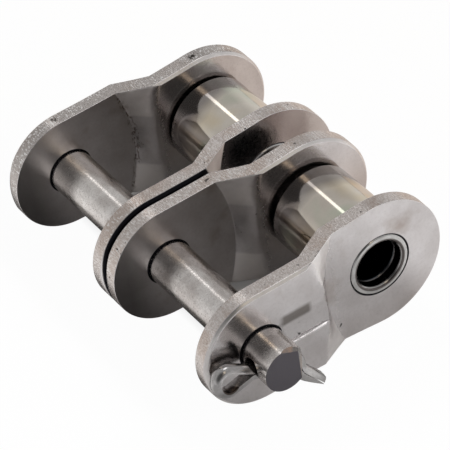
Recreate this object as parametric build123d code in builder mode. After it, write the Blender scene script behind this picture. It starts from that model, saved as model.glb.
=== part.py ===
from build123d import *

import os
from math import atan2, cos, degrees, pi, radians, sin, sqrt

# Double-strand cranked (offset) connecting link for 3/4 in pitch roller chain.
# Millimetres, +Z up. X runs from the pin end to the bush end along the pitch line,
# Y runs along the pin. The origin lies on the bush axis, half way between the strands.

# Chain sizes
pitch = 19.05
inside_width = 12.7
middle_plate_gap = 0.28

# Side plates: close together at the bush end and far apart at the pin end,
# where the next link's plates come between them
plate_thickness = 2.3
next_plate_clearance = 0.3
pin_end_radius = 8.1
bush_end_radius = 9.05
waist_radius = 200.0

# The two bends of a plate, measured along the pitch line from the pin axis
first_bend_distance = 9.6
first_bend_radius = 20.5
second_bend_distance = 11.15
second_bend_radius = 21.6
bend_easing = 0.5

# Pressed channel in the outer face, from the pin hole out through the shoulder
channel_depth = 0.38
channel_ramp_start = 2.2
channel_ramp_end = 0.3
channel_floor_end = 1.75
channel_wall_end = 1.9

# Rolled rim round the pin end of the outer face, and the softened edge of the other raised rims
roll_radius = 0.9
roll_offset = 1.9
roll_steps = 3
rim_softening = 0.35

# Long pin
pin_radius = 2.98
pin_hole_clearance = 0.05
stub_length = 5.1
stub_bevels = [(0, 1.15, 1.3), (67, 0.55, 0.5)]
rivet_length = 1.0
rivet_spread = 0.3
rivet_slope = 0.8

# Bushes and rollers
bush_radius = 4.25
bush_bore_clearance = 0.04
bush_seat_clearance = 0.01
bush_proud = 0.1
bush_edge_rounding = 0.2
bush_mouth_rounding = 0.3
bush_mouth_step = 0.2
bush_mouth_depth = 1.4
roller_radius = 5.955
roller_end_play = 0.8
roller_bore_clearance = 0.08
roller_edge_rounding = 0.35
near_roller_gap = 0.2

# Cross hole through the stub
cross_hole_radius = 1.4
cross_hole_distance = 1.87
cross_hole_drop = 0.8
cross_hole_tilt = 12.0

# Split pin of half-round wire, in a plane tipped about the pitch direction
wire_radius = 0.98
wire_steps = 6
leg_gap = 0.1
split_pin_tip = 12.0
neck = (-3.27, -0.46)
eye_distance = 6.48
eye_inner_radius = 1.17
leg_knee = (3.0, -1.72)
leg_heel = (2.9, -3.6)
leg_end = (5.28, -6.55)
knee_radius = 1.12
heel_radius = 1.5
neck_radius = 1.5
slant_start = (2.68, -4.91)
slant_end = (6.64, -7.66)
bevel_start = (5.52, -4.75)
bevel_end = (6.11, -7.12)

plate_joggle = plate_thickness + next_plate_clearance
bend_depth = plate_joggle + plate_thickness
wide_outside_width = inside_width + 2 * bend_depth
strand_spacing = wide_outside_width + middle_plate_gap
near_strand = -strand_spacing / 2
far_strand = strand_spacing / 2
near_face = near_strand - wide_outside_width / 2
far_face = far_strand + wide_outside_width / 2
blank_reach = 1.4 * bush_end_radius
overrun = 1.0


def plate_outline():
    # Two round ends joined by long shallow waists tangent to both
    from_pin = waist_radius + pin_end_radius
    from_bush = waist_radius + bush_end_radius
    centre_x = (from_pin**2 - from_bush**2 + pitch**2) / (2 * pitch)
    centre_y = sqrt(from_pin**2 - centre_x**2)
    pin_x = centre_x * pin_end_radius / from_pin
    pin_y = centre_y * pin_end_radius / from_pin
    bush_x = pitch + (centre_x - pitch) * bush_end_radius / from_bush
    bush_y = centre_y * bush_end_radius / from_bush
    ThreePointArc((pin_x, pin_y), (-pin_end_radius, 0), (pin_x, -pin_y))
    RadiusArc((pin_x, -pin_y), (bush_x, -bush_y), waist_radius)
    ThreePointArc((bush_x, -bush_y), (pitch + bush_end_radius, 0), (bush_x, bush_y))
    RadiusArc((bush_x, bush_y), (pin_x, pin_y), waist_radius)


def bend_region(middle_x, bend_radius, side_x):
    # The area between one bend line, an arc across the plate, and a straight side.
    # A positive radius bows towards the bush end, a negative one towards the pin end.
    sagitta = abs(bend_radius) - sqrt(bend_radius**2 - blank_reach**2)
    end_x = middle_x - sagitta * bend_radius / abs(bend_radius)
    ThreePointArc((end_x, -blank_reach), (middle_x, 0), (end_x, blank_reach))
    Polyline((end_x, blank_reach), (side_x, blank_reach), (side_x, -blank_reach), (end_x, -blank_reach))


# Flat outline of the plate, with the edges of its two raised faces softened
with BuildPart() as outline_block:
    with BuildSketch():
        with BuildLine():
            plate_outline()
        make_face()
    extrude(amount=bend_depth)
    chamfer(outline_block.edges().group_by(Axis.Z)[0], rim_softening)
    chamfer(outline_block.edges().group_by(Axis.Z)[-1], rim_softening)

# One stamping, used four times: outer face at z = 0, bush end stepped inwards to +z
blank_start = -pin_end_radius - overrun
blank_end = pitch + bush_end_radius + overrun
with BuildPart() as stamping:
    with BuildSketch():
        with Locations(((blank_start + blank_end) / 2, 0)):
            Rectangle(blank_end - blank_start, 2 * blank_reach)
    extrude(amount=bend_depth)
    # The bush end is relieved from the outer face
    with BuildSketch():
        with BuildLine():
            bend_region(first_bend_distance, first_bend_radius, blank_end)
        make_face()
    with BuildSketch(Plane.XY.offset(plate_joggle)):
        with BuildLine():
            bend_region(second_bend_distance, -second_bend_radius, blank_end)
        make_face()
    loft(ruled=True, mode=Mode.SUBTRACT)
    # The pin end is relieved from the inner face
    with BuildSketch(Plane.XY.offset(plate_thickness)):
        with BuildLine():
            bend_region(first_bend_distance, first_bend_radius, blank_start)
        make_face()
    with BuildSketch(Plane.XY.offset(bend_depth)):
        with BuildLine():
            bend_region(second_bend_distance, -second_bend_radius, blank_start)
        make_face()
    loft(ruled=True, mode=Mode.SUBTRACT)
    # Outward bends are eased, inward ones stay crisp
    bend_lines = stamping.edges().filter_by(GeomType.CIRCLE).sort_by(Axis.Z)
    chamfer([bend_lines[0], bend_lines[-1]], bend_easing)
    add(outline_block.part, mode=Mode.INTERSECT)
    # Rim of the pin end rolled over on the outer face, fading out towards the waist
    ring_radius = pin_end_radius + roll_offset
    roll_angles = [i * pi / 2 / roll_steps for i in range(roll_steps + 1)]
    roll_points = [
        (ring_radius - roll_radius * (1 - sin(angle)), roll_radius * (1 - cos(angle)))
        for angle in roll_angles
    ]
    with BuildSketch(Plane(origin=(roll_offset, 0, 0), x_dir=(0, 1, 0), z_dir=(1, 0, 0))):
        with BuildLine():
            Polyline(
                *roll_points,
                (ring_radius + overrun, roll_radius),
                (ring_radius + overrun, -overrun),
                (ring_radius - roll_radius, -overrun),
                close=True,
            )
        make_face()
    roll_axis = Axis((roll_offset, 0, 0), (0, 0, 1))
    revolve(axis=roll_axis, revolution_arc=180, mode=Mode.SUBTRACT)
    # Channel with one sloping side, cut along the pitch line until the shoulder falls away
    with BuildSketch(Plane(origin=(0, 0, 0), x_dir=(0, 1, 0), z_dir=(1, 0, 0))):
        with BuildLine():
            Polyline(
                (-channel_ramp_start, -overrun),
                (-channel_ramp_start, 0),
                (-channel_ramp_end, channel_depth),
                (channel_floor_end, channel_depth),
                (channel_wall_end, 0),
                (channel_wall_end, -overrun),
                close=True,
            )
        make_face()
    extrude(amount=second_bend_distance, mode=Mode.SUBTRACT)
    Hole(pin_radius + pin_hole_clearance)
    with Locations((pitch, 0, 0)):
        Hole(bush_radius + bush_seat_clearance)

# Outer face position and inward direction of each plate
plate_places = {
    "far_outer_plate": (far_face, -1),
    "far_middle_plate": (far_strand - wide_outside_width / 2, 1),
    "near_middle_plate": (near_strand + wide_outside_width / 2, -1),
    "near_outer_plate": (near_face, 1),
}
plates = []
for plate_name, (face_y, inward) in plate_places.items():
    plate = Plane(origin=(-pitch, face_y, 0), x_dir=(1, 0, 0), z_dir=(0, inward, 0)) * stamping.part
    plate.label = plate_name
    plates.append(plate)


# Long pin, headed by riveting at the far end and drilled for the split pin at the near end
stub_end = near_face - stub_length
rivet_end = far_face + rivet_length
pin_axis = Axis((-pitch, 0, 0), (0, 1, 0))
swing = radians(split_pin_tip)
split_plane = Plane(
    origin=(-pitch, near_face - cross_hole_distance, 0),
    x_dir=(1, 0, 0),
    z_dir=(0, -cos(swing), sin(swing)),
)
with BuildPart() as long_pin:
    with BuildSketch(Plane(origin=(-pitch, 0, 0), x_dir=(1, 0, 0), z_dir=(0, 0, 1))):
        with BuildLine():
            Polyline(
                (0, far_face),
                (0, stub_end),
                (pin_radius, stub_end),
                (pin_radius, far_face),
                close=True,
            )
        make_face()
        with BuildLine():
            Polyline(
                (0, far_face),
                (0, rivet_end),
                (pin_radius + rivet_spread - rivet_slope, rivet_end),
                (pin_radius + rivet_spread, rivet_end - rivet_slope),
                (pin_radius + rivet_spread, far_face),
                close=True,
            )
        make_face()
    revolve(axis=pin_axis)
    # The cut end is bevelled on the side of the split pin's legs and a little on top:
    # each bevel has the angle it faces, its depth and its length
    for facing, bevel_depth, bevel_length in stub_bevels:
        outward = Vector(1, 0, 0).rotate(Axis.Y, -facing)
        bevel_plane = Plane(origin=(-pitch, 0, 0), x_dir=outward, z_dir=outward.cross(Vector(0, 1, 0)))
        with BuildSketch(bevel_plane):
            with BuildLine():
                Polyline(
                    (pin_radius - bevel_depth, stub_end),
                    (pin_radius, stub_end + bevel_length),
                    (pin_radius + overrun, stub_end + bevel_length),
                    (pin_radius + overrun, stub_end - overrun),
                    (pin_radius - bevel_depth, stub_end - overrun),
                    close=True,
                )
            make_face()
        extrude(amount=pin_radius, both=True, mode=Mode.SUBTRACT)
    # The cross hole slopes down along the plane of the split pin
    hole_middle = split_plane.from_local_coords((0, -cross_hole_drop))
    hole_heading = split_plane.x_dir.rotate(Axis((0, 0, 0), split_plane.z_dir), -cross_hole_tilt)
    with BuildSketch(Plane(origin=hole_middle, z_dir=hole_heading)):
        Circle(cross_hole_radius)
    extrude(amount=pin_radius + overrun, both=True, mode=Mode.SUBTRACT)
long_pin.part.label = "long_pin"


# Split pin: the flat of the wire follows this line from one leg end to the other
half_gap = leg_gap / 2
neck_to_eye = eye_distance + neck[0]
eye_spread = degrees(atan2(eye_inner_radius, sqrt(neck_to_eye**2 + neck[1] ** 2 - eye_inner_radius**2)))
eye_lean = degrees(atan2(-neck[1], neck_to_eye))
eye_left = -eye_distance - eye_inner_radius
eye_depth = neck[0] - eye_left
eye_top = neck[1] + eye_depth * sin(radians(eye_lean + eye_spread)) / cos(radians(eye_lean + eye_spread))
eye_bottom = neck[1] + eye_depth * sin(radians(eye_lean - eye_spread)) / cos(radians(eye_lean - eye_spread))
with BuildPart() as split_pin:
    with BuildLine(split_plane) as wire_line:
        FilletPolyline(
            (leg_end[0] + half_gap, leg_end[1] + half_gap),
            (leg_heel[0] + half_gap, leg_heel[1]),
            (leg_knee[0] + half_gap, leg_knee[1] + half_gap),
            (neck[0], neck[1] + half_gap),
            (eye_left, eye_top),
            (eye_left, eye_bottom),
            (neck[0], neck[1] - half_gap),
            (leg_knee[0] - half_gap, leg_knee[1] - half_gap),
            (leg_heel[0] - half_gap, leg_heel[1]),
            (leg_end[0] - half_gap, leg_end[1] - half_gap),
            radius=[
                heel_radius,
                knee_radius,
                neck_radius,
                eye_inner_radius,
                eye_inner_radius,
                neck_radius,
                knee_radius,
                heel_radius,
            ],
        )
    # Each straight run of the wire is extruded and each bend is revolved
    section_angles = [i * pi / wire_steps for i in range(wire_steps + 1)]
    section_points = [(wire_radius * cos(angle), wire_radius * sin(angle)) for angle in section_angles]
    for run in wire_line.edges():
        heading = run % 0
        with BuildSketch(Plane(origin=run @ 0, x_dir=split_plane.z_dir, z_dir=heading)):
            with BuildLine():
                Polyline(*section_points, close=True)
            make_face()
        if run.geom_type == GeomType.LINE:
            extrude(amount=run.length)
        else:
            turn_axis = Axis(run.arc_center, heading.cross(run @ 1 - run @ 0))
            revolve(axis=turn_axis, revolution_arc=degrees(run.length / run.radius))
    # The leg ends are cut to a slant, so the inner leg tapers out behind the outer one,
    # and the back of the outer leg is bevelled
    with BuildSketch(split_plane):
        with BuildLine():
            Polyline(
                slant_start,
                slant_end,
                (slant_end[0], slant_end[1] - 2 * wire_radius),
                (slant_start[0], slant_end[1] - 2 * wire_radius),
                close=True,
            )
        make_face()
        with BuildLine():
            Polyline(
                bevel_start,
                bevel_end,
                (bevel_end[0] + 2 * wire_radius, bevel_end[1]),
                (bevel_end[0] + 2 * wire_radius, bevel_start[1]),
                close=True,
            )
        make_face()
    extrude(amount=2 * wire_radius, both=True, mode=Mode.SUBTRACT)
split_pin.part.label = "split_pin"


def bush(strand_y):
    # A tube with both mouths opened out a little, down to a small step in the bore
    half_length = inside_width / 2 + plate_thickness + bush_proud
    bore_radius = pin_radius + bush_bore_clearance
    mouth_radius = bore_radius + bush_mouth_step
    with BuildPart() as tube:
        with BuildSketch(Plane(origin=(0, strand_y, 0), x_dir=(1, 0, 0), z_dir=(0, 0, 1))):
            with BuildLine():
                half_wall = Polyline(
                    (bore_radius, 0),
                    (bore_radius, half_length - bush_mouth_depth - bush_mouth_step),
                    (mouth_radius, half_length - bush_mouth_depth),
                    (mouth_radius, half_length - bush_mouth_rounding),
                    (mouth_radius + bush_mouth_rounding, half_length),
                    (bush_radius - bush_edge_rounding, half_length),
                    (bush_radius, half_length - bush_edge_rounding),
                    (bush_radius, 0),
                )
                mirror(half_wall, about=Plane.XZ)
            make_face()
        revolve(axis=Axis.Y)
    return tube.part


def roller(start_y):
    # A plain roller with softened end rims
    bore_radius = bush_radius + roller_bore_clearance
    length = inside_width - roller_end_play
    with BuildPart(Plane(origin=(0, start_y, 0), z_dir=(0, 1, 0))) as sleeve:
        Cylinder(roller_radius, length, align=(Align.CENTER, Align.CENTER, Align.MIN))
        chamfer(sleeve.edges().filter_by(GeomType.CIRCLE), roller_edge_rounding)
        Hole(bore_radius)
    return sleeve.part


far_bush = bush(far_strand)
far_bush.label = "far_bush"
near_bush = bush(near_strand)
near_bush.label = "near_bush"
far_roller = roller(far_strand - inside_width / 2 + roller_end_play / 2)
far_roller.label = "far_roller"
near_roller = roller(near_strand - inside_width / 2 + near_roller_gap)
near_roller.label = "near_roller"

os.makedirs("parts", exist_ok=True)
for piece in plates + [long_pin.part, split_pin.part, far_bush, near_bush, far_roller, near_roller]:
    export_step(piece, f"parts/{piece.label}.step")
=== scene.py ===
import bpy
import math
from mathutils import Matrix, Vector


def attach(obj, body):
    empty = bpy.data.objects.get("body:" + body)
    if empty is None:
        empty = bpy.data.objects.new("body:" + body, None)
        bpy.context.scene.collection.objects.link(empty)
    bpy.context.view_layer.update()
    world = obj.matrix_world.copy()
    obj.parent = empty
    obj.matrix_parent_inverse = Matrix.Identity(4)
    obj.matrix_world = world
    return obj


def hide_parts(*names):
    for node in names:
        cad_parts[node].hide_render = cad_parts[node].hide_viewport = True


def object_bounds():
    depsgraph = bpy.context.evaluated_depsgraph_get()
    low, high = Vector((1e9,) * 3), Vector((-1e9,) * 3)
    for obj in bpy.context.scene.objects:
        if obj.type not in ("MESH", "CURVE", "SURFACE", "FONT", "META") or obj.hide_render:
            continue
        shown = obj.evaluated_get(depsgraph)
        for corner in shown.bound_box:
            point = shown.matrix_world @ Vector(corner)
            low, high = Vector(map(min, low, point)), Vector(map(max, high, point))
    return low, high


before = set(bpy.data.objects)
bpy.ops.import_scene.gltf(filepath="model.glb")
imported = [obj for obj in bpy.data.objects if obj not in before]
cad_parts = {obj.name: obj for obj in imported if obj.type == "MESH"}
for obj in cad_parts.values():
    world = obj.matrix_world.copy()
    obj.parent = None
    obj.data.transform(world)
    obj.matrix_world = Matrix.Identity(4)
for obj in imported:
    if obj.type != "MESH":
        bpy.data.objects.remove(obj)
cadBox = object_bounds()
bpy.ops.object.select_all(action="DESELECT")
print("frame loaded:", len(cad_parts), "nodes")


# Helpers for node trees. A value is a number, a colour or another node's socket

def newMaterial(name):
    mat = bpy.data.materials.new(name)
    mat.use_nodes = True
    tree = mat.node_tree
    tree.nodes.clear()
    out = tree.nodes.new("ShaderNodeOutputMaterial")
    shader = tree.nodes.new("ShaderNodeBsdfPrincipled")
    tree.links.new(shader.outputs["BSDF"], out.inputs["Surface"])
    shader.inputs["Metallic"].default_value = 1.0
    return mat, tree, shader


def setOrLink(tree, socket, value):
    if isinstance(value, tuple):
        socket.default_value = (*value, 1)
    elif isinstance(value, (int, float)):
        socket.default_value = value
    else:
        tree.links.new(value, socket)


def addNoise(tree, scale, detail=4.0, stretch=(1, 1, 1), offset=(0, 0, 0)):
    coords = tree.nodes.new("ShaderNodeTexCoord")
    mapping = tree.nodes.new("ShaderNodeMapping")
    mapping.inputs["Scale"].default_value = stretch
    mapping.inputs["Location"].default_value = offset
    noise = tree.nodes.new("ShaderNodeTexNoise")
    noise.inputs["Scale"].default_value = scale
    noise.inputs["Detail"].default_value = detail
    tree.links.new(coords.outputs["Object"], mapping.inputs["Vector"])
    tree.links.new(mapping.outputs["Vector"], noise.inputs["Vector"])
    return noise.outputs["Fac"]


def addPlace(tree, source="Object"):
    # Object coordinates, or the object's own normal, as three values
    coords = tree.nodes.new("ShaderNodeTexCoord")
    parts = tree.nodes.new("ShaderNodeSeparateXYZ")
    tree.links.new(coords.outputs[source], parts.inputs[0])
    return parts.outputs["X"], parts.outputs["Y"], parts.outputs["Z"]


def addDistance(tree, centre):
    # Distance from a point, in object coordinates
    coords = tree.nodes.new("ShaderNodeTexCoord")
    node = tree.nodes.new("ShaderNodeVectorMath")
    node.operation = "DISTANCE"
    node.inputs[1].default_value = centre
    tree.links.new(coords.outputs["Object"], node.inputs[0])
    return node.outputs["Value"]


def addMath(tree, operation, first, second=0.0):
    node = tree.nodes.new("ShaderNodeMath")
    node.operation = operation
    setOrLink(tree, node.inputs[0], first)
    setOrLink(tree, node.inputs[1], second)
    return node.outputs[0]


def addProduct(tree, first, *others):
    for other in others:
        first = addMath(tree, "MULTIPLY", first, other)
    return first


def addRadius(tree, centreX=0.0, centreZ=0.0):
    # Distance from an axis that runs across the link, along Y
    placeX, _, placeZ = addPlace(tree)
    fromX = addMath(tree, "SUBTRACT", placeX, centreX)
    fromZ = addMath(tree, "SUBTRACT", placeZ, centreZ)
    squares = addMath(tree, "ADD", addProduct(tree, fromX, fromX), addProduct(tree, fromZ, fromZ))
    return addMath(tree, "SQRT", squares)


def addRange(tree, value, low, high, outLow, outHigh):
    remap = tree.nodes.new("ShaderNodeMapRange")
    remap.inputs["From Min"].default_value = low
    remap.inputs["From Max"].default_value = high
    setOrLink(tree, remap.inputs["To Min"], outLow)
    setOrLink(tree, remap.inputs["To Max"], outHigh)
    tree.links.new(value, remap.inputs["Value"])
    return remap.outputs["Result"]


def addBand(tree, value, start, full, fade, end):
    # One between two soft limits, nothing outside them
    rising = addRange(tree, value, start, full, 0, 1)
    return addProduct(tree, rising, addRange(tree, value, fade, end, 1, 0))


def addPatches(tree, patch):
    # Noise cut down to scattered patches
    stretch, offset = patch.get("stretch", (1, 1, 1)), patch.get("offset", (0, 0, 0))
    noise = addNoise(tree, patch["scale"], patch["detail"], stretch, offset)
    return addRange(tree, noise, *patch["from"], patch.get("least", 0), patch["most"])


def addMix(tree, factor, first, second):
    mix = tree.nodes.new("ShaderNodeMix")
    mix.data_type = "RGBA"
    setOrLink(tree, mix.inputs["Factor"], factor)
    setOrLink(tree, mix.inputs["A"], first)
    setOrLink(tree, mix.inputs["B"], second)
    return mix.outputs["Result"]


def addLayer(tree, mask, tone, colour, rough, roughness):
    # A colour and its roughness laid over what is there, as far as the mask goes
    return addMix(tree, mask, tone, colour), addRange(tree, mask, 0, 1, rough, roughness)


def addBump(tree, shader, heights):
    normal = None
    for height, strength, depth in heights:
        bump = tree.nodes.new("ShaderNodeBump")
        bump.inputs["Distance"].default_value = depth
        setOrLink(tree, bump.inputs["Strength"], strength)
        tree.links.new(height, bump.inputs["Height"])
        if normal is not None:
            tree.links.new(normal, bump.inputs["Normal"])
        normal = bump.outputs["Normal"]
    tree.links.new(normal, shader.inputs["Normal"])


# What all the steels share: soft clouds of tone with fine flecks over them
steelGrain = {
    "grainDetail": 3, "cloudDetail": 5, "cloudFrom": (0.35, 0.65), "fleckFrom": (0.45, 0.75),
    "roughFrom": (0.3, 0.7), "grainDepth": 0.00002, "cloudDepth": 0.00004, "waveDepth": 0.00006,
}


def steelBase(tree, look):
    grain = addNoise(tree, look["grainScale"], steelGrain["grainDetail"])
    cloud = addNoise(tree, look["cloudScale"], steelGrain["cloudDetail"])
    clouds = addRange(tree, cloud, *steelGrain["cloudFrom"], 0, 1)
    tone = addMix(tree, clouds, look["dark"], look["light"])
    flecks = addRange(tree, grain, *steelGrain["fleckFrom"], 0, look["speckle"])
    tone = addMix(tree, flecks, tone, look["fleck"])
    rough = addRange(tree, grain, *steelGrain["roughFrom"], look["roughLow"], look["roughHigh"])
    return tone, rough, grain, cloud


# Lengths and places are in metres
plateLook = {
    "dark": (0.58, 0.545, 0.54), "light": (0.705, 0.675, 0.675), "fleck": (0.42, 0.385, 0.37),
    "grainScale": 2600, "cloudScale": 230, "speckle": 0.2,
    "roughLow": 0.13, "roughHigh": 0.24, "bump": 0.1,
    "wave": 0.25, "waveScale": 300, "waveDetail": 2,
    # Brown handling stains and tiny pits
    "stain": (0.30, 0.23, 0.19),
    "stains": {"scale": 170, "detail": 6, "offset": (0.3, 0.1, 0.7), "from": (0.6, 0.74), "most": 0.5},
    "pit": (0.05, 0.045, 0.04),
    "pits": {"scale": 560, "detail": 1, "offset": (0.05, 0.4, 0.2), "from": (0.80, 0.82), "most": 0.9},
    # Where the rim is: past this height, or this far from the plate's middle
    "rimHeight": (0.0038, 0.0042), "plateMiddle": -0.00905, "rimLength": (0.0138, 0.0142),
    "rimFacing": (0.2, 0.35),
    # Blanked edges
    "edgeDark": (0.58, 0.52, 0.485), "edgeLight": (0.76, 0.70, 0.67),
    "edgeRough": 0.26, "edgeBump": 0.35,
    "streakScale": 5200, "streakDetail": 3, "streakStretch": (1, 0.5, 1), "streakFrom": (0.38, 0.62),
    "edgeStain": (0.46, 0.34, 0.27),
    "edgeStains": {"scale": 260, "detail": 5, "offset": (0.6, 0.2, 0.1), "from": (0.50, 0.64), "most": 0.4},
    # Painted shade: the far plates' edges are darker
    "farEdgeShade": (0.40, 0.375, 0.36), "farEdgeFrom": (0.012, 0.018), "farEdgeShare": 0.55,
    # Painted glints: bright specks on the edges, fewer on the near plates
    "paintedGlint": (0.97, 0.95, 0.93), "glintRough": 0.4,
    "paintedGlints": {"scale": 5200, "detail": 2, "stretch": (1, 0.45, 1), "from": (0.57, 0.63), "most": 1},
    "glintCloud": (0.38, 0.52), "glintCloudLeast": 0.1, "glintAcross": (-0.012, 0.012), "glintNear": 0.25,
    "nick": (0.03, 0.025, 0.02), "nickSize": (0.0003, 0.0006),
    "nickPlaces": [(-0.0196, 0.0215, 0.0079), (-0.0002, 0.0190, 0.0090)],
    "nicks": {"scale": 900, "detail": 3, "offset": (0.11, 0.2, 0.32), "from": (0.70, 0.72), "most": 0.9},
    "ragged": {"scale": 2400, "detail": 4, "from": (0.42, 0.52), "least": 0.2, "most": 1},
    # Painted shade: a broken dark brown line along the bend of the plate furthest off
    "paintedCreaseShade": (0.11, 0.065, 0.045), "creaseCentre": -0.02995, "creaseRadius": 0.0205,
    "creaseWidth": 0.0006, "creaseShare": 0.9, "creaseFrom": (0.0160, 0.0165), "creaseFacing": (-0.5, -0.3),
    "creaseBreaks": {"scale": 3400, "detail": 5, "stretch": (1, 1, 0.5), "from": (0.49, 0.6), "most": 1},
    # Painted shade on the inner faces towards their pin end; the inner faces are also duller, and rougher
    # on their slopes
    "innerFrom": (-0.0215, -0.0205),
    "paintedInnerShade": (0.22, 0.205, 0.20), "innerShadeShare": 0.7,
    "innerShadeAcross": (-0.0210, -0.0250), "innerShadeFacing": (-0.9, -0.97),
    "hazeAcross": (-0.0050, -0.0080), "hazeFacing": (-0.5, -0.6), "hazeRough": 0.34,
    "slopeFacing": (-0.3, -0.5), "slopeRough": 0.52,
    # Painted shade: a soft dark patch above the pressed channel of the near plate
    "paintedChannelShade": (0.20, 0.18, 0.165), "rampAlong": (-0.0164, -0.0156, -0.0121, -0.0115),
    "rampHeight": 0.00215, "rampHalf": (0.000525, 0.00105),
    "rampShare": 0.9, "rampFrom": (-0.0215, -0.0218),
    # Painted shade: dark rings in the clearance round the pin and the bushes, and a dark band between the
    # two middle plates
    "gap": (0.02, 0.02, 0.025), "gapRough": 0.7, "middleGapHalf": (0.00044, 0.00056),
    "pinCentre": (-0.01915, 0.00014), "pinRing": (0.00316, 0.00324), "bushRing": (0.00432, 0.00442),
    "thinnerAcross": (-0.02, 0.01), "thinner": 0.00007,
    # Softened corners between faces and rims, with a painted highlight
    "paintedCornerHighlight": (0.92, 0.88, 0.86), "cornerHighlightRough": 0.42, "cornerFacing": (0.35, 0.5, 0.85, 0.96),
    "cornerCloud": (0.3, 0.6), "cornerHighlightShare": (0.35, 0.9),
}


def blankedEdge(tree, look, placeY, cloud):
    # Fine streaks through the thickness, stains, painted shade on the far plates' edges, painted glints as
    # bright specks, a few nicks
    streaks = addNoise(tree, look["streakScale"], look["streakDetail"], look["streakStretch"])
    streaked = addRange(tree, streaks, *look["streakFrom"], 0, 1)
    tone = addMix(tree, streaked, look["edgeDark"], look["edgeLight"])
    tone = addMix(tree, addPatches(tree, look["edgeStains"]), tone, look["edgeStain"])
    # Painted shade: the edges of the far plates are darker
    farShare = addRange(tree, placeY, *look["farEdgeFrom"], 0, look["farEdgeShare"])
    tone = addMix(tree, farShare, tone, look["farEdgeShade"])
    # Painted glints: bright specks, fewer on the near plates
    paintedGlints = addProduct(
        tree, addPatches(tree, look["paintedGlints"]),
        addRange(tree, cloud, *look["glintCloud"], look["glintCloudLeast"], 1),
        addRange(tree, placeY, *look["glintAcross"], look["glintNear"], 1),
    )
    tone = addMix(tree, paintedGlints, tone, look["paintedGlint"])
    nicks = addPatches(tree, look["nicks"])
    ragged = addPatches(tree, look["ragged"])
    for centre in look["nickPlaces"]:
        dent = addRange(tree, addDistance(tree, centre), *look["nickSize"], 1, 0)
        nicks = addMath(tree, "MAXIMUM", nicks, addProduct(tree, dent, ragged))
    tone = addMix(tree, nicks, tone, look["nick"])
    rough = addRange(tree, paintedGlints, 0, 1, look["edgeRough"], look["glintRough"])
    return tone, rough, streaks


def creaseShade(tree, look, placeY, normalY):
    fromCentre = addRadius(tree, look["creaseCentre"])
    offBend = addMath(tree, "ABSOLUTE", addMath(tree, "SUBTRACT", fromCentre, look["creaseRadius"]))
    return addProduct(
        tree, addRange(tree, offBend, 0, look["creaseWidth"], look["creaseShare"], 0),
        addPatches(tree, look["creaseBreaks"]),
        addRange(tree, placeY, *look["creaseFrom"], 0, 1),
        addRange(tree, normalY, *look["creaseFacing"], 1, 0),
    )


def channelShade(tree, look, placeX, placeY, placeZ):
    offRamp = addMath(tree, "ABSOLUTE", addMath(tree, "SUBTRACT", placeZ, look["rampHeight"]))
    return addProduct(
        tree, addBand(tree, placeX, *look["rampAlong"]),
        addRange(tree, offRamp, *look["rampHalf"], look["rampShare"], 0),
        addRange(tree, placeY, *look["rampFrom"], 0, 1),
    )


def clearanceShadeRings(tree, look, placeY):
    # Painted shade in the clearance; the ring round the pin gets thinner towards the far side
    thinner = addRange(tree, placeY, *look["thinnerAcross"], 0, look["thinner"])
    fromPin = addMath(tree, "ADD", addRadius(tree, *look["pinCentre"]), thinner)
    pinRing = addRange(tree, fromPin, *look["pinRing"], 1, 0)
    bushRing = addRange(tree, addRadius(tree), *look["bushRing"], 1, 0)
    return addMath(tree, "MAXIMUM", pinRing, bushRing)


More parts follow.
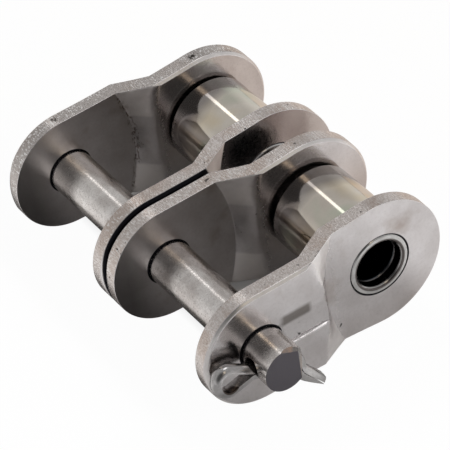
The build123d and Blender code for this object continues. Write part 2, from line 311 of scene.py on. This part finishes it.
def plateSteel():
    look = plateLook
    mat, tree, shader = newMaterial("satinPlateSteel")
    tone, rough, grain, cloud = steelBase(tree, look)
    tone = addMix(tree, addPatches(tree, look["stains"]), tone, look["stain"])
    tone = addMix(tree, addPatches(tree, look["pits"]), tone, look["pit"])
    placeX, placeY, placeZ = addPlace(tree)
    normalX, normalY, _ = addPlace(tree, "Normal")
    facing = addMath(tree, "ABSOLUTE", normalY)

    fromMiddle = addMath(tree, "ABSOLUTE", addMath(tree, "SUBTRACT", placeX, look["plateMiddle"]))
    rim = addMath(
        tree, "MAXIMUM",
        addRange(tree, addMath(tree, "ABSOLUTE", placeZ), *look["rimHeight"], 0, 1),
        addRange(tree, fromMiddle, *look["rimLength"], 0, 1),
    )
    edge = addProduct(tree, addRange(tree, facing, *look["rimFacing"], 1, 0), rim)
    edgeTone, edgeRough, streaks = blankedEdge(tree, look, placeY, cloud)
    tone, rough = addLayer(tree, edge, tone, edgeTone, rough, edgeRough)

    # Painted shade along the bend crease of the plate furthest off
    tone = addMix(tree, creaseShade(tree, look, placeY, normalY), tone, look["paintedCreaseShade"])
    inner = addRange(tree, placeY, *look["innerFrom"], 0, 1)
    # Painted shade: the inner faces darken towards their pin end
    paintedInnerShade = addProduct(
        tree, addRange(tree, normalY, *look["innerShadeFacing"], 0, 1), inner,
        addRange(tree, placeX, *look["innerShadeAcross"], 0, look["innerShadeShare"]),
    )
    tone = addMix(tree, paintedInnerShade, tone, look["paintedInnerShade"])
    haze = addProduct(
        tree, addRange(tree, normalY, *look["hazeFacing"], 0, 1), inner,
        addRange(tree, placeX, *look["hazeAcross"], 0, 1),
    )
    rough = addRange(tree, haze, 0, 1, rough, look["hazeRough"])
    slope = addProduct(tree, haze, addRange(tree, normalX, *look["slopeFacing"], 0, 1))
    rough = addRange(tree, slope, 0, 1, rough, look["slopeRough"])
    # Painted shade above the pressed channel of the near plate
    tone = addMix(tree, channelShade(tree, look, placeX, placeY, placeZ), tone, look["paintedChannelShade"])

    # Painted shade in the clearance round the pin and the bushes
    ring = clearanceShadeRings(tree, look, placeY)
    tone = addMix(tree, ring, tone, look["gap"])
    # Painted highlight along the softened corners of the rims
    corner = addProduct(
        tree, addBand(tree, facing, *look["cornerFacing"]), rim,
        addRange(tree, cloud, *look["cornerCloud"], *look["cornerHighlightShare"]),
    )
    tone, rough = addLayer(tree, corner, tone, look["paintedCornerHighlight"], rough, look["cornerHighlightRough"])
    # Painted shade in the narrow gap between the two middle plates
    middleGapShade = addRange(tree, addMath(tree, "ABSOLUTE", placeY), *look["middleGapHalf"], 1, 0)
    middleGapShade = addMath(tree, "MAXIMUM", middleGapShade, ring)
    tone, rough = addLayer(tree, middleGapShade, tone, look["gap"], rough, look["gapRough"])

    tree.links.new(tone, shader.inputs["Base Color"])
    tree.links.new(rough, shader.inputs["Roughness"])
    addBump(tree, shader, [
        (addNoise(tree, look["waveScale"], look["waveDetail"]), look["wave"], steelGrain["waveDepth"]),
        (grain, look["bump"], steelGrain["grainDepth"]),
        (streaks, addRange(tree, edge, 0, 1, 0.0, look["edgeBump"]), steelGrain["waveDepth"]),
    ])
    return mat


pinLook = {
    "dark": (0.64, 0.59, 0.56), "light": (0.90, 0.86, 0.83), "fleck": (0.36, 0.32, 0.30),
    "grainScale": 4000, "cloudScale": 420, "speckle": 0.4,
    "roughLow": 0.16, "roughHigh": 0.30, "bump": 0.2, "cloudBump": 0.2,
    # Painted light: the pin is lighter towards its far end
    "paintedFarLight": (1.0, 0.95, 0.9), "farFrom": (0.009, 0.018), "farShare": 0.45,
    # Painted shade darkens the sawn end and its bevels; the end is dull and the bevels carry brownish
    # patches
    "end": (0.15, 0.14, 0.155), "endRough": 0.6, "endFrom": (-0.02770, -0.02767),
    "bevelDark": (0.24, 0.22, 0.21), "bevelBrown": (0.46, 0.33, 0.26),
    "bevelFrom": (-0.0262, -0.0264), "bevelFacing": (-0.7, -0.25),
    "bevelPatchFrom": (0.53, 0.63), "bevelPatchShare": 0.75,
}


def pinSteel():
    look = pinLook
    mat, tree, shader = newMaterial("speckledPinSteel")
    tone, rough, grain, cloud = steelBase(tree, look)
    _, placeY, _ = addPlace(tree)
    _, normalY, _ = addPlace(tree, "Normal")
    # Painted light: the pin is lighter towards its far end
    farShare = addRange(tree, placeY, *look["farFrom"], 0, look["farShare"])
    tone = addMix(tree, farShare, tone, look["paintedFarLight"])
    # Painted shade on the bevels of the end, with brownish patches
    bevel = addProduct(
        tree, addRange(tree, normalY, *look["bevelFacing"], 1, 0),
        addRange(tree, placeY, *look["bevelFrom"], 0, 1),
    )
    bevelPatchShare = addRange(tree, cloud, *look["bevelPatchFrom"], 0, look["bevelPatchShare"])
    bevelPatches = addMix(tree, bevelPatchShare, look["bevelDark"], look["bevelBrown"])
    tone = addMix(tree, bevel, tone, bevelPatches)
    # Painted shade on the end face, which is also rough
    end = addRange(tree, placeY, *look["endFrom"], 1, 0)
    tone, rough = addLayer(tree, end, tone, look["end"], rough, look["endRough"])
    tree.links.new(tone, shader.inputs["Base Color"])
    tree.links.new(rough, shader.inputs["Roughness"])
    addBump(tree, shader, [
        (cloud, look["cloudBump"], steelGrain["cloudDepth"]),
        (grain, look["bump"], steelGrain["grainDepth"]),
    ])
    return mat


bushLook = {
    "dark": (0.50, 0.49, 0.48), "light": (0.66, 0.65, 0.64), "fleck": (0.36, 0.34, 0.32),
    "grainScale": 3000, "cloudScale": 500, "speckle": 0.2,
    "roughLow": 0.16, "roughHigh": 0.28, "bump": 0.12,
    # Painted shade by radius: a shaded lip inside the bright rim of each end, then a darker wall and a
    # near-black bore
    "paintedLipShade": (0.13, 0.115, 0.11), "endBand": (0.00332, 0.00340, 0.00364, 0.00374),
    "paintedWallShade": (0.17, 0.16, 0.16), "wallRadius": (0.00326, 0.00334),
    "bore": (0.04, 0.05, 0.06), "boreRadius": (0.00306, 0.00314),
}


def bushSteel():
    look = bushLook
    mat, tree, shader = newMaterial("bushSteel")
    tone, rough, grain, _ = steelBase(tree, look)
    radius = addRadius(tree)
    # Painted shade on the lip, the wall and the bore, by radius
    tone = addMix(tree, addBand(tree, radius, *look["endBand"]), tone, look["paintedLipShade"])
    tone = addMix(tree, addRange(tree, radius, *look["wallRadius"], 1, 0), tone, look["paintedWallShade"])
    tone = addMix(tree, addRange(tree, radius, *look["boreRadius"], 1, 0), tone, look["bore"])
    tree.links.new(tone, shader.inputs["Base Color"])
    tree.links.new(rough, shader.inputs["Roughness"])
    addBump(tree, shader, [(grain, look["bump"], steelGrain["grainDepth"])])
    return mat


rollerLook = {
    "dark": (0.67, 0.605, 0.525), "light": (0.80, 0.74, 0.655), "fleck": (0.58, 0.53, 0.48),
    "grainScale": 2500, "cloudScale": 160, "speckle": 0.1,
    "roughLow": 0.06, "roughHigh": 0.11, "bump": 0.02, "cloudBump": 0.06,
    # Faint straw and green tints of heat and oil
    "warm": (0.76, 0.63, 0.42), "warmFrom": (0.5, 0.68),
    "cool": (0.60, 0.65, 0.52), "coolFrom": (0.46, 0.34),
    "tint": 0.7, "tintScale": 150, "tintDetail": 2, "tintOffset": (0.2, 0.6, 0.1), "tintMiddle": 0.5,
    # Painted shade: each roller is darker towards one end, measured from its middle
    "rollerMiddle": 0.01139, "paintedDarkEnd": (0.24, 0.22, 0.225), "darkEndFrom": (0.0012, 0.0032),
    "darkEndShare": 0.75, "darkEndWander": 0.006,
}


def rollerSteel():
    look = rollerLook
    mat, tree, shader = newMaterial("polishedRollerSteel")
    tone, rough, grain, cloud = steelBase(tree, look)
    hue = addNoise(tree, look["tintScale"], look["tintDetail"], offset=look["tintOffset"])
    tone = addMix(tree, addRange(tree, hue, *look["warmFrom"], 0, look["tint"]), tone, look["warm"])
    tone = addMix(tree, addRange(tree, hue, *look["coolFrom"], 0, look["tint"]), tone, look["cool"])
    _, placeY, _ = addPlace(tree)
    # Painted shade: each roller darkens towards one end, with a wandering edge
    middle = addProduct(tree, addMath(tree, "SIGN", placeY), look["rollerMiddle"])
    fromMiddle = addMath(tree, "SUBTRACT", placeY, middle)
    wander = addProduct(tree, addMath(tree, "SUBTRACT", hue, look["tintMiddle"]), look["darkEndWander"])
    paintedDarkEnd = addRange(tree, addMath(tree, "ADD", fromMiddle, wander), *look["darkEndFrom"], 0, look["darkEndShare"])
    tone = addMix(tree, paintedDarkEnd, tone, look["paintedDarkEnd"])
    tree.links.new(tone, shader.inputs["Base Color"])
    tree.links.new(rough, shader.inputs["Roughness"])
    addBump(tree, shader, [
        (cloud, look["cloudBump"], steelGrain["cloudDepth"]),
        (grain, look["bump"], steelGrain["grainDepth"]),
    ])
    return mat


wireLook = {
    "dark": (0.40, 0.385, 0.38), "light": (0.55, 0.535, 0.53), "fleck": (0.30, 0.27, 0.25),
    "grainScale": 3200, "cloudScale": 500, "speckle": 0.3,
    "roughLow": 0.15, "roughHigh": 0.26, "bump": 0.12,
    # Painted shade on the flat side inside the eye
    "inner": (0.10, 0.08, 0.07), "eyeCentre": -0.02553, "eyeRadius": (0.00119, 0.00126),
}


def wireSteel():
    look = wireLook
    mat, tree, shader = newMaterial("drawnWireSteel")
    tone, rough, grain, _ = steelBase(tree, look)
    # Painted shade inside the eye
    inner = addRange(tree, addRadius(tree, look["eyeCentre"]), *look["eyeRadius"], 1, 0)
    tone = addMix(tree, inner, tone, look["inner"])
    tree.links.new(tone, shader.inputs["Base Color"])
    tree.links.new(rough, shader.inputs["Roughness"])
    addBump(tree, shader, [(grain, look["bump"], steelGrain["grainDepth"])])
    return mat


finishes = {
    "plates": plateSteel(), "pin": pinSteel(), "bushes": bushSteel(),
    "rollers": rollerSteel(), "split_wire": wireSteel(),
}
print("finishes made")


# Pieces: each CAD form merged, its sharp edges rounded and its shading smoothed.
# Angles are in degrees, lengths in metres
mergeValues = {"distance": 0.000001, "flatAngle": 0.5, "evenWeight": 60}
plateEdge = {"angle": 30, "width": 0.00012, "segments": 2, "smooth": 50, "even": True}
roundEdge = {"angle": 30, "width": 0.00006, "segments": 2, "smooth": 50, "even": True}
wireEdge = {"angle": 55, "width": 0.00012, "segments": 3, "smooth": 60, "even": False}


def selectOnly(piece):
    bpy.ops.object.select_all(action="DESELECT")
    piece.select_set(True)
    bpy.context.view_layer.objects.active = piece


def shapedCopy(nodeName, body, finish, edge):
    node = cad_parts[nodeName]
    selectOnly(node)
    bpy.ops.object.duplicate()
    piece = bpy.context.active_object
    piece.name = nodeName + "_skin"
    piece.data.name = piece.name
    # The copy is a piece of its own, so the node's marks come off
    for key in [k for k in piece.keys() if k.startswith("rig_")]:
        del piece[key]
    piece.parent = None

    bpy.ops.mesh.customdata_custom_splitnormals_clear()
    bpy.ops.object.mode_set(mode="EDIT")
    bpy.ops.mesh.select_all(action="SELECT")
    bpy.ops.mesh.remove_doubles(threshold=mergeValues["distance"])
    bpy.ops.mesh.dissolve_limited(angle_limit=math.radians(mergeValues["flatAngle"]))
    bpy.ops.mesh.select_all(action="DESELECT")
    bpy.ops.object.mode_set(mode="OBJECT")
    bpy.ops.object.shade_smooth()
    bevel = piece.modifiers.new("roundedEdges", "BEVEL")
    bevel.limit_method = "ANGLE"
    bevel.angle_limit = math.radians(edge["angle"])
    bevel.width = edge["width"]
    bevel.segments = edge["segments"]
    bpy.ops.object.modifier_apply(modifier="roundedEdges")
    bpy.ops.object.shade_smooth_by_angle(angle=math.radians(edge["smooth"]))
    if edge["even"]:
        weighted = piece.modifiers.new("evenShading", "WEIGHTED_NORMAL")
        weighted.keep_sharp = True
        weighted.weight = mergeValues["evenWeight"]
        bpy.ops.object.modifier_apply(modifier="evenShading")

    piece.data.materials.clear()
    piece.data.materials.append(finishes[finish])
    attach(piece, body)
    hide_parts(nodeName)


for plateName in ("far_outer_plate", "far_middle_plate", "near_middle_plate", "near_outer_plate"):
    shapedCopy(plateName, "link_frame", "plates", plateEdge)
shapedCopy("long_pin", "link_frame", "pin", roundEdge)
for bushName in ("far_bush", "near_bush"):
    shapedCopy(bushName, "link_frame", "bushes", roundEdge)
for rollerName in ("far_roller", "near_roller"):
    shapedCopy(rollerName, rollerName, "rollers", roundEdge)
shapedCopy("split_pin", "link_frame", "split_wire", wireEdge)
print("pieces shaped")


# Floor, room, lamps and camera

def lightShare(tree, seen, mirrored):
    # How much plain white each kind of ray meets: camera rays, then glossy and transmitted ones
    path = tree.nodes.new("ShaderNodeLightPath")
    total = addProduct(tree, path.outputs["Is Camera Ray"], seen)
    for output in ("Is Glossy Ray", "Is Transmission Ray"):
        total = addMath(tree, "MAXIMUM", total, addProduct(tree, path.outputs[output], mirrored))
    return total


# The polished faces mirror the floor, so its tones stand for what lies round the part
floorLook = {
    "size": 4.0, "colour": (0.86, 0.86, 0.86), "whiteSeen": 0.975, "whiteMirrored": 0.03,
    # Shaded left side in front of the part
    "shade": (0.5, 0.5, 0.5), "shadeAcross": (-0.016, -0.028), "shadeAlong": (-0.024, -0.014),
    # Painted shade on the floor between the plates, in a darker band towards the left end
    "inner": (0.64, 0.57, 0.52), "deep": (0.58, 0.56, 0.545), "deepAcross": (0.006, -0.006),
    "outer": (0.20, 0.19, 0.185), "outerAcross": (-0.0175, -0.0215, -0.0300, -0.0325),
    # Soft shadow that shows through the openings
    "shadowAcross": (-0.019, -0.011, -0.003, 0.005), "shadowAlong": (-0.016, -0.008, 0.0205, 0.0285),
    "shadowDepth": 0.93,
}


def makeFloor():
    look = floorLook
    bpy.ops.mesh.primitive_plane_add(size=look["size"], location=(0, 0, cadBox[0].z))
    floor = bpy.context.active_object
    floor.name = "floor"
    mat = bpy.data.materials.new("paleFloor")
    mat.use_nodes = True
    tree = mat.node_tree
    tree.nodes.clear()
    out = tree.nodes.new("ShaderNodeOutputMaterial")
    diffuse = tree.nodes.new("ShaderNodeBsdfDiffuse")
    placeX, placeY, _ = addPlace(tree)
    front = addMix(tree, addRange(tree, placeX, *look["shadeAcross"], 0, 1), look["colour"], look["shade"])
    # Painted shade on the floor between the plates and in a band at the left end
    between = addMix(tree, addRange(tree, placeX, *look["deepAcross"], 0, 1), look["inner"], look["deep"])
    between = addMix(tree, addBand(tree, placeX, *look["outerAcross"]), between, look["outer"])
    pastParts = addRange(tree, placeX, *look["outerAcross"][2:], 0, 1)
    between = addMix(tree, pastParts, between, look["colour"])
    inward = addRange(tree, placeY, *look["shadeAlong"], 0, 1)
    tree.links.new(addMix(tree, inward, front, between), diffuse.inputs["Color"])
    under = addProduct(
        tree, addBand(tree, placeX, *look["shadowAcross"]), addBand(tree, placeY, *look["shadowAlong"]),
    )
    seen = addRange(tree, under, 0, 1, look["whiteSeen"], look["whiteSeen"] * (1 - look["shadowDepth"]))
    white = tree.nodes.new("ShaderNodeEmission")
    mix = tree.nodes.new("ShaderNodeMixShader")
    tree.links.new(lightShare(tree, seen, look["whiteMirrored"]), mix.inputs["Fac"])
    tree.links.new(diffuse.outputs[0], mix.inputs[1])
    tree.links.new(white.outputs[0], mix.inputs[2])
    tree.links.new(mix.outputs[0], out.inputs["Surface"])
    floor.data.materials.append(mat)


roomLook = {
    "softLight": 0.15,
    # Brightness that is mirrored, low down and overhead
    "low": 0.85, "high": 0.6, "fade": (0.2, 0.5),
    # A darker part of the room, and how nearly towards it a ray points
    "darkSide": (-0.353, -0.667, 0.656), "dark": 0.12, "darkFade": (0.71, 0.94),
}


def makeRoom():
    look = roomLook
    world = bpy.data.worlds.new("studioWhite")
    bpy.context.scene.world = world
    world.use_nodes = True
    tree = world.node_tree
    tree.nodes.clear()
    out = tree.nodes.new("ShaderNodeOutputWorld")
    soft = tree.nodes.new("ShaderNodeBackground")
    soft.inputs["Strength"].default_value = look["softLight"]
    coords = tree.nodes.new("ShaderNodeTexCoord")
    towards = tree.nodes.new("ShaderNodeVectorMath")
    towards.operation = "DOT_PRODUCT"
    towards.inputs[1].default_value = look["darkSide"]
    tree.links.new(coords.outputs["Generated"], towards.inputs[0])
    height = addPlace(tree, "Generated")[2]
    sky = addRange(tree, height, *look["fade"], look["low"], look["high"])
    shade = addRange(tree, towards.outputs["Value"], *look["darkFade"], sky, look["dark"])
    # The room is only mirrored: straight behind the part the eye meets plain white
    path = tree.nodes.new("ShaderNodeLightPath")
    strength = addMath(tree, "MAXIMUM", shade, path.outputs["Is Camera Ray"])
    seen = tree.nodes.new("ShaderNodeBackground")
    tree.links.new(strength, seen.inputs["Strength"])
    mix = tree.nodes.new("ShaderNodeMixShader")
    tree.links.new(lightShare(tree, 1, 1), mix.inputs["Fac"])
    tree.links.new(soft.outputs[0], mix.inputs[1])
    tree.links.new(seen.outputs[0], mix.inputs[2])
    tree.links.new(mix.outputs[0], out.inputs["Surface"])


# The fills light the floor and aren't mirrored. The others give the streaks on the steel
softboxes = {
    "backFill": {"place": (0.15, 0.5, 0.5), "size": (0.5, 0.4), "power": 4.2, "mirrored": False},
    "frontFill": {"place": (0.2, -0.5, 0.34), "size": (0.4, 0.3), "power": 2.6, "mirrored": False},
    "strip": {"place": (0.068, 0.427, 0.472), "size": (0.06, 0.4), "power": 0.085, "mirrored": True},
    "frontStrip": {
        "place": (0.068, -0.427, 0.472), "size": (0.08, 0.34), "power": 0.11, "mirrored": True,
        "colour": (1, 0.86, 0.66),
    },
    "overhead": {"place": (0.21, 0.024, 0.56), "size": (0.2, 0.2), "power": 0.2, "mirrored": True},
}


def addSoftbox(name, box):
    bpy.ops.object.light_add(type="AREA", location=box["place"])
    lamp = bpy.context.active_object
    lamp.name = name
    lamp.data.shape = "RECTANGLE"
    lamp.data.size, lamp.data.size_y = box["size"]
    lamp.data.energy = box["power"]
    lamp.data.color = box.get("colour", (1, 1, 1))
    lamp.visible_glossy = box["mirrored"]
    lamp.rotation_mode = "QUATERNION"
    lamp.rotation_quaternion = (-Vector(box["place"])).to_track_quat("-Z", "Y")


# Angles are in degrees. The lens ratio is its length over the frame's width
cameraView = {
    "azimuth": 27.906, "elevation": 41.022, "roll": -9.228,
    "place": (-0.170261, -0.303707, 0.297647), "lensRatio": 3676 / 450, "frameWidth": 36, "nearest": 0.01,
}


def makeCamera():
    view = cameraView
    azimuth, elevation, roll = (math.radians(view[k]) for k in ("azimuth", "elevation", "roll"))
    ahead = Vector((
        math.sin(azimuth) * math.cos(elevation),
        math.cos(azimuth) * math.cos(elevation),
        -math.sin(elevation),
    ))
    level = Vector((math.cos(azimuth), -math.sin(azimuth), 0))
    upright = level.cross(ahead)
    side = math.cos(roll) * level + math.sin(roll) * upright
    top = -math.sin(roll) * level + math.cos(roll) * upright
    bpy.ops.object.camera_add()
    camera = bpy.context.active_object
    turned = Matrix((side, top, -ahead)).transposed().to_4x4()
    camera.matrix_world = Matrix.Translation(view["place"]) @ turned
    camera.data.sensor_width = view["frameWidth"]
    camera.data.lens = view["frameWidth"] * view["lensRatio"]
    camera.data.clip_start = view["nearest"]
    bpy.context.scene.camera = camera


makeFloor()
makeRoom()
for boxName, box in softboxes.items():
    addSoftbox(boxName, box)
makeCamera()
bpy.context.scene.view_settings.view_transform = "Standard"
print("studio ready")
